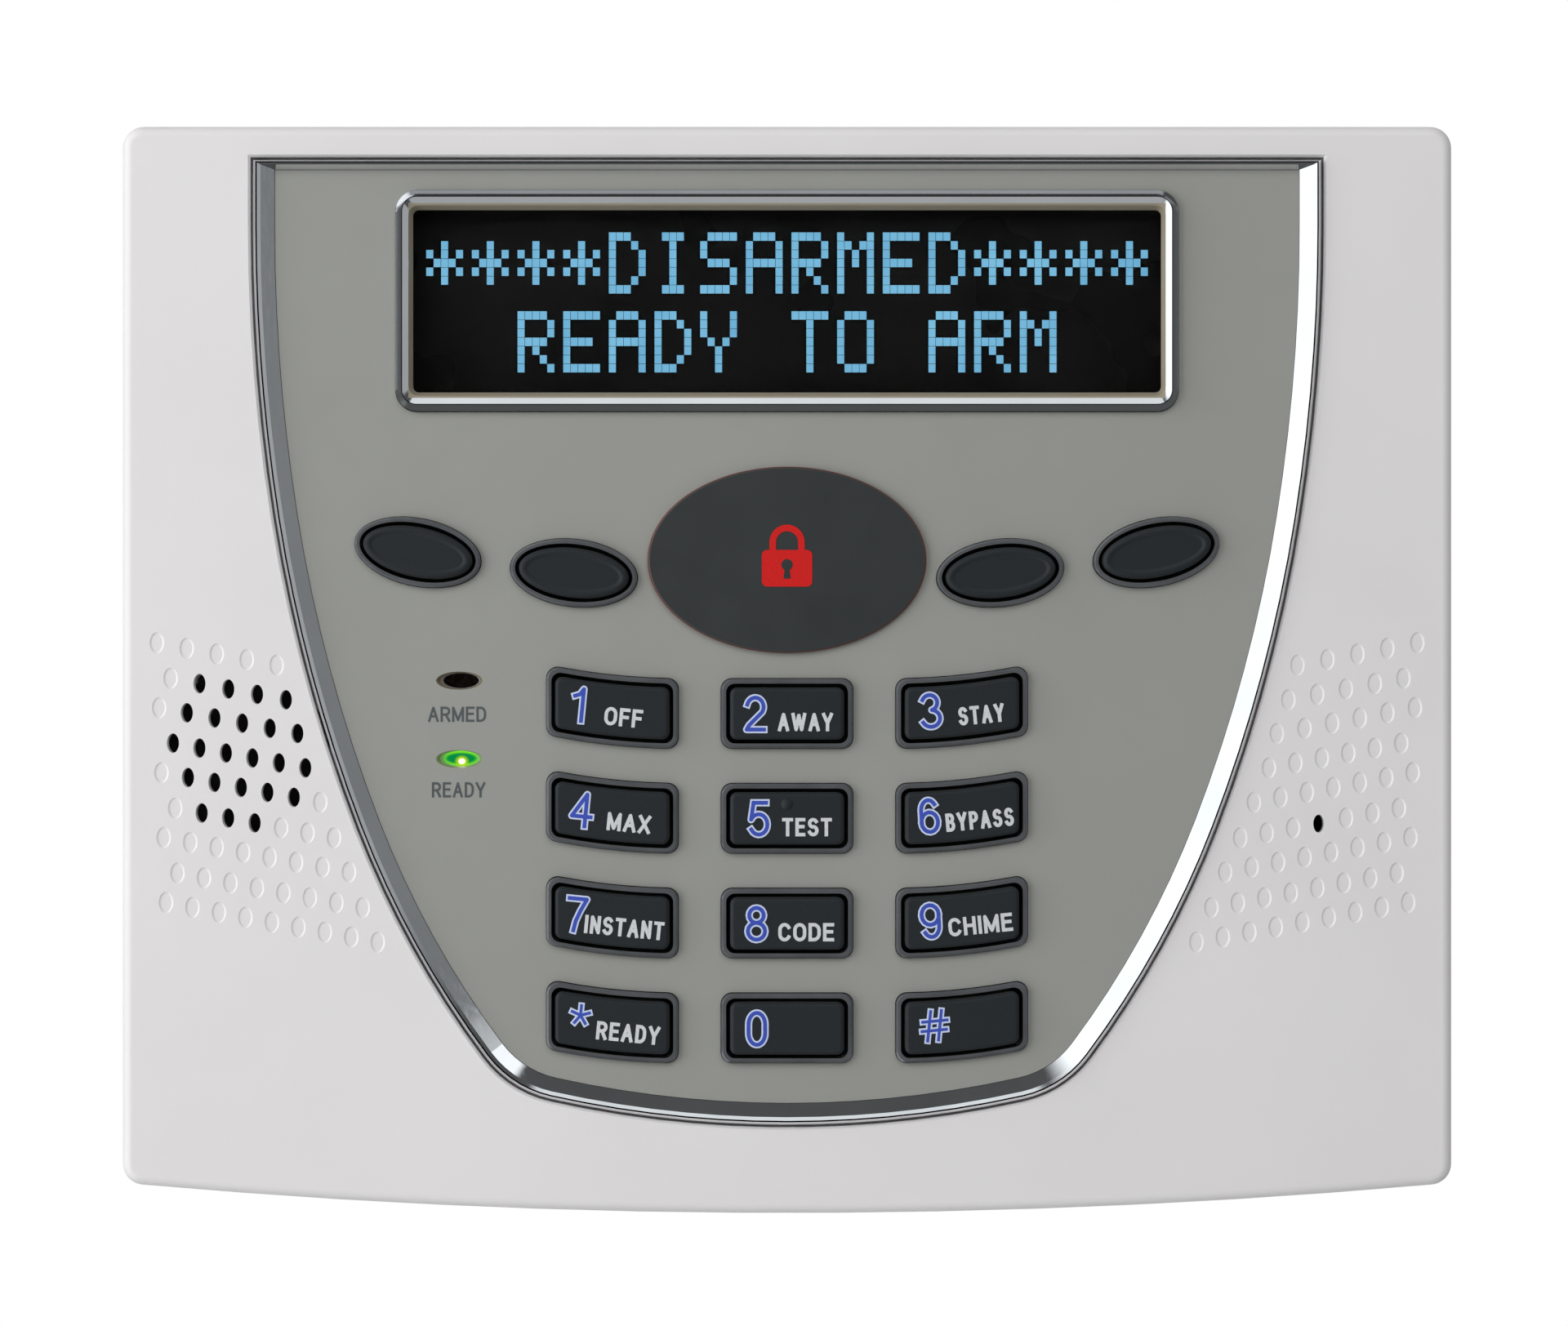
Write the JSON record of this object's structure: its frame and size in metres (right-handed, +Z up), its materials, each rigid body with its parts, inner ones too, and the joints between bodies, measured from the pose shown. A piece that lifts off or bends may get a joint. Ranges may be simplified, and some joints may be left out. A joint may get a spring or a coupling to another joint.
{
  "type": "alarm keypad panel",
  "caption": "Wall-mounted alarm keypad: white case, shield-shaped grey panel with bright trim, two-line display, rubber number keys, oval function keys, lamps, speaker and microphone.",
  "frame": {"origin": "centre of the four wall-screw slots, on the wall plane", "axes": "+Z up, +X to the right as a user sees it, +Y into the wall, keys face -Y"},
  "size_m": [0.174, 0.0272, 0.1422],
  "materials": {
    "white_shell": "fine satin moulding",
    "white_plastic": "satin moulding",
    "grey_panel": "smooth satin",
    "bright_trim": "polished plating",
    "bright_bezel": "polished plating",
    "lens": "clear, hard coated",
    "emblem": "smooth satin",
    "collar": "smoky metallic",
    "key_rubber": "matt, printed legends",
    "mat_rubber": "matt",
    "tinned_sheet": "tinned, blackened front",
    "display_glass": "black negative display",
    "light_guide": "milky",
    "circuit_board": "solder resist",
    "solder_wire": "tinned",
    "chip": "moulded",
    "can_aluminium": "drawn can",
    "terminal_plastic": "moulded",
    "screw_steel": "zinc plated",
    "basket_steel": "pressed",
    "cone_paper": "pressed film",
    "magnet": "ground",
    "foam": "closed-cell foam",
    "socket_plastic": "moulded",
    "lead_insulation": "smooth",
    "light_pipe": "clear moulding",
    "armed_lamp": "tinted, unlit",
    "ready_lamp": "tinted, lit"
  },
  "bodies": {
    "wall_side": {"wall_plate": "white_plastic"},
    "front": {"front_cover": "white_shell", "face_panel": "grey_panel", "chrome_trim": "bright_trim", "display_bezel": "bright_bezel", "display_window": "lens", "emblem_plate": "emblem", "number_key_collars": "collar", "function_key_collars": "collar", "keypad_mat": "mat_rubber", "lcd_frame": "tinned_sheet", "lcd_glass": "display_glass", "lcd_backlight": "light_guide", "lcd_board": "circuit_board", "lcd_jumpers": "solder_wire", "main_board": "circuit_board", "processor_chip": "chip", "voice_chip": "chip", "capacitors": "can_aluminium", "crystal": "can_aluminium", "terminal_block": "terminal_plastic", "terminal_screws": "screw_steel", "board_screws": "screw_steel", "speaker_basket": "basket_steel", "speaker_cone": "cone_paper", "speaker_magnet": "magnet", "speaker_gasket": "foam", "speaker_screws": "screw_steel", "speaker_socket": "socket_plastic", "speaker_leads": "lead_insulation", "microphone_capsule": "can_aluminium", "microphone_boot": "mat_rubber", "armed_light_pipe": "light_pipe", "ready_light_pipe": "light_pipe", "armed_lamp": "armed_lamp", "ready_lamp": "ready_lamp"},
    "key_1": {"key_1": "key_rubber"},
    "key_2": {"key_2": "key_rubber"},
    "key_3": {"key_3": "key_rubber"},
    "key_4": {"key_4": "key_rubber"},
    "key_5": {"key_5": "key_rubber"},
    "key_6": {"key_6": "key_rubber"},
    "key_7": {"key_7": "key_rubber"},
    "key_8": {"key_8": "key_rubber"},
    "key_9": {"key_9": "key_rubber"},
    "key_star": {"key_star": "key_rubber"},
    "key_0": {"key_0": "key_rubber"},
    "key_pound": {"key_pound": "key_rubber"},
    "function_key_a": {"function_key_a": "key_rubber"},
    "function_key_b": {"function_key_b": "key_rubber"},
    "function_key_c": {"function_key_c": "key_rubber"},
    "function_key_d": {"function_key_d": "key_rubber"}
  },
  "joints": [
    {"name": "front_swing", "type": "hinge", "parent": "wall_side", "child": "front", "pos_m": [0, -0.001, 0.07115], "axis": [-1, 0, 0], "range_deg": [0, 20]},
    {"name": "press_key_1", "type": "slide", "parent": "front", "child": "key_1", "axis": [0, 1, 0], "range_m": [0, 0.0012], "stiffness_N_per_m": 600, "springref_m": -0.0008},
    {"name": "press_key_2", "type": "slide", "parent": "front", "child": "key_2", "axis": [0, 1, 0], "range_m": [0, 0.0012], "stiffness_N_per_m": 600, "springref_m": -0.0008},
    {"name": "press_key_3", "type": "slide", "parent": "front", "child": "key_3", "axis": [0, 1, 0], "range_m": [0, 0.0012], "stiffness_N_per_m": 600, "springref_m": -0.0008},
    {"name": "press_key_4", "type": "slide", "parent": "front", "child": "key_4", "axis": [0, 1, 0], "range_m": [0, 0.0012], "stiffness_N_per_m": 600, "springref_m": -0.0008},
    {"name": "press_key_5", "type": "slide", "parent": "front", "child": "key_5", "axis": [0, 1, 0], "range_m": [0, 0.0012], "stiffness_N_per_m": 600, "springref_m": -0.0008},
    {"name": "press_key_6", "type": "slide", "parent": "front", "child": "key_6", "axis": [0, 1, 0], "range_m": [0, 0.0012], "stiffness_N_per_m": 600, "springref_m": -0.0008},
    {"name": "press_key_7", "type": "slide", "parent": "front", "child": "key_7", "axis": [0, 1, 0], "range_m": [0, 0.0012], "stiffness_N_per_m": 600, "springref_m": -0.0008},
    {"name": "press_key_8", "type": "slide", "parent": "front", "child": "key_8", "axis": [0, 1, 0], "range_m": [0, 0.0012], "stiffness_N_per_m": 600, "springref_m": -0.0008},
    {"name": "press_key_9", "type": "slide", "parent": "front", "child": "key_9", "axis": [0, 1, 0], "range_m": [0, 0.0012], "stiffness_N_per_m": 600, "springref_m": -0.0008},
    {"name": "press_key_star", "type": "slide", "parent": "front", "child": "key_star", "axis": [0, 1, 0], "range_m": [0, 0.0012], "stiffness_N_per_m": 600, "springref_m": -0.0008},
    {"name": "press_key_0", "type": "slide", "parent": "front", "child": "key_0", "axis": [0, 1, 0], "range_m": [0, 0.0012], "stiffness_N_per_m": 600, "springref_m": -0.0008},
    {"name": "press_key_pound", "type": "slide", "parent": "front", "child": "key_pound", "axis": [0, 1, 0], "range_m": [0, 0.0012], "stiffness_N_per_m": 600, "springref_m": -0.0008},
    {"name": "press_function_key_a", "type": "slide", "parent": "front", "child": "function_key_a", "axis": [0, 1, 0], "range_m": [0, 0.0012], "stiffness_N_per_m": 600, "springref_m": -0.0008},
    {"name": "press_function_key_b", "type": "slide", "parent": "front", "child": "function_key_b", "axis": [0, 1, 0], "range_m": [0, 0.0012], "stiffness_N_per_m": 600, "springref_m": -0.0008},
    {"name": "press_function_key_c", "type": "slide", "parent": "front", "child": "function_key_c", "axis": [0, 1, 0], "range_m": [0, 0.0012], "stiffness_N_per_m": 600, "springref_m": -0.0008},
    {"name": "press_function_key_d", "type": "slide", "parent": "front", "child": "function_key_d", "axis": [0, 1, 0], "range_m": [0, 0.0012], "stiffness_N_per_m": 600, "springref_m": -0.0008}
  ]
}
